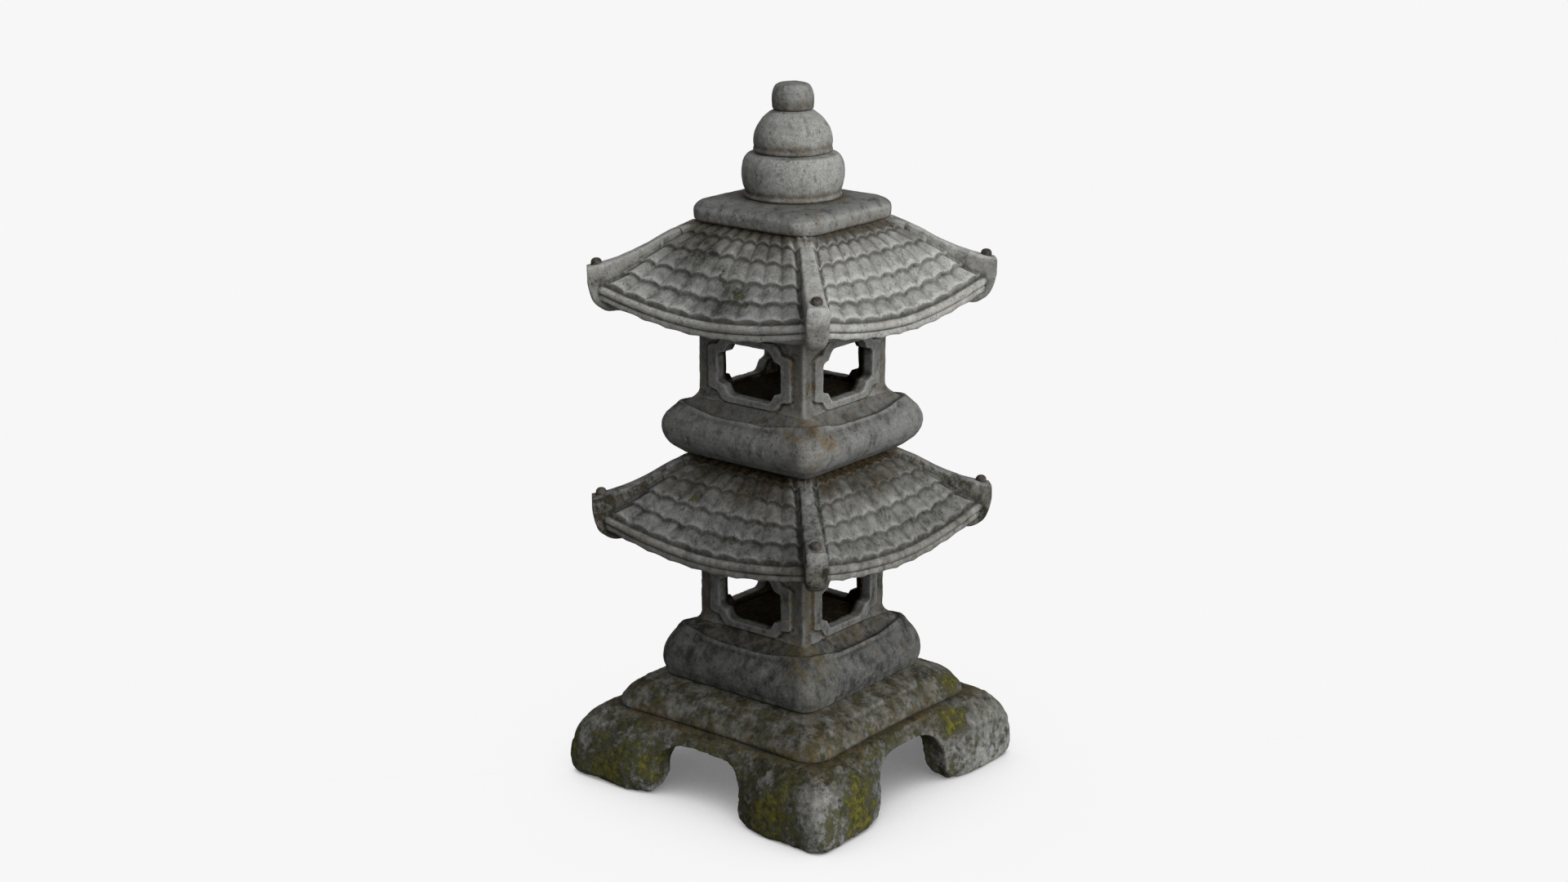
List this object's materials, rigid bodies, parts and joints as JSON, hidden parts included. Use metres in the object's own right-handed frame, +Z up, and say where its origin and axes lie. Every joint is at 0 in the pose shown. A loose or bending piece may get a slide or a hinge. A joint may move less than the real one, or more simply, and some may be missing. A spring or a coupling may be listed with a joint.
{
  "type": "stone lantern",
  "caption": "Pagoda garden lantern of stacked stones: windowed light boxes under tiled roofs, on an arched foot, with a bulb finial.",
  "frame": {"origin": "on the ground, under the middle of the foot stone", "axes": "+Z up along the stack's axis; X and Y square to the sides of the foot stone, which are alike"},
  "size_m": [0.425, 0.425, 0.9],
  "materials": {
    "mossy_stone": "rough cast stone with moss and lichen",
    "carved_stone": "pitted grey cast stone with brown stains in the creases",
    "roof_stone": "pitted grey cast stone with lichen streaks",
    "knob_stone": "brown stained stone",
    "dowel_steel": "plain steel bar"
  },
  "bodies": {
    "base": {"base_plinth": "mossy_stone", "base_dowel": "dowel_steel"},
    "step": {"step_plinth": "mossy_stone", "step_dowel": "dowel_steel"},
    "lower_platform": {"lower_platform": "carved_stone"},
    "lower_light_box": {"lower_light_box": "carved_stone"},
    "lower_roof": {"lower_roof": "roof_stone", "lower_ridge_knob_1": "knob_stone", "lower_ridge_knob_2": "knob_stone", "lower_ridge_knob_3": "knob_stone", "lower_ridge_knob_4": "knob_stone", "roof_dowel": "dowel_steel"},
    "upper_platform": {"upper_platform": "carved_stone"},
    "upper_light_box": {"upper_light_box": "carved_stone"},
    "upper_roof": {"upper_roof": "roof_stone", "upper_ridge_knob_1": "knob_stone", "upper_ridge_knob_2": "knob_stone", "upper_ridge_knob_3": "knob_stone", "upper_ridge_knob_4": "knob_stone"},
    "cap_slab": {"cap_slab": "carved_stone"},
    "finial": {"finial_lower_bulb": "carved_stone", "finial_middle_bulb": "carved_stone", "finial_knob": "carved_stone", "finial_rod": "dowel_steel"}
  },
  "joints": [
    {"name": "step_lift", "type": "slide", "parent": "base", "child": "step", "axis": [0, 0, 1], "range_m": [0, 0.04]},
    {"name": "lower_platform_lift", "type": "slide", "parent": "step", "child": "lower_platform", "axis": [0, 0, 1], "range_m": [0, 0.04]},
    {"name": "lower_light_box_lift", "type": "slide", "parent": "lower_platform", "child": "lower_light_box", "axis": [0, 0, 1], "range_m": [0, 0.04]},
    {"name": "lower_roof_lift", "type": "slide", "parent": "lower_light_box", "child": "lower_roof", "axis": [0, 0, 1], "range_m": [0, 0.04]},
    {"name": "upper_platform_lift", "type": "slide", "parent": "lower_roof", "child": "upper_platform", "axis": [0, 0, 1], "range_m": [0, 0.04]},
    {"name": "upper_light_box_lift", "type": "slide", "parent": "upper_platform", "child": "upper_light_box", "axis": [0, 0, 1], "range_m": [0, 0.04]},
    {"name": "upper_roof_lift", "type": "slide", "parent": "upper_light_box", "child": "upper_roof", "axis": [0, 0, 1], "range_m": [0, 0.04]},
    {"name": "cap_slab_lift", "type": "slide", "parent": "upper_roof", "child": "cap_slab", "axis": [0, 0, 1], "range_m": [0, 0.04]},
    {"name": "finial_lift", "type": "slide", "parent": "cap_slab", "child": "finial", "axis": [0, 0, 1], "range_m": [0, 0.065]}
  ]
}
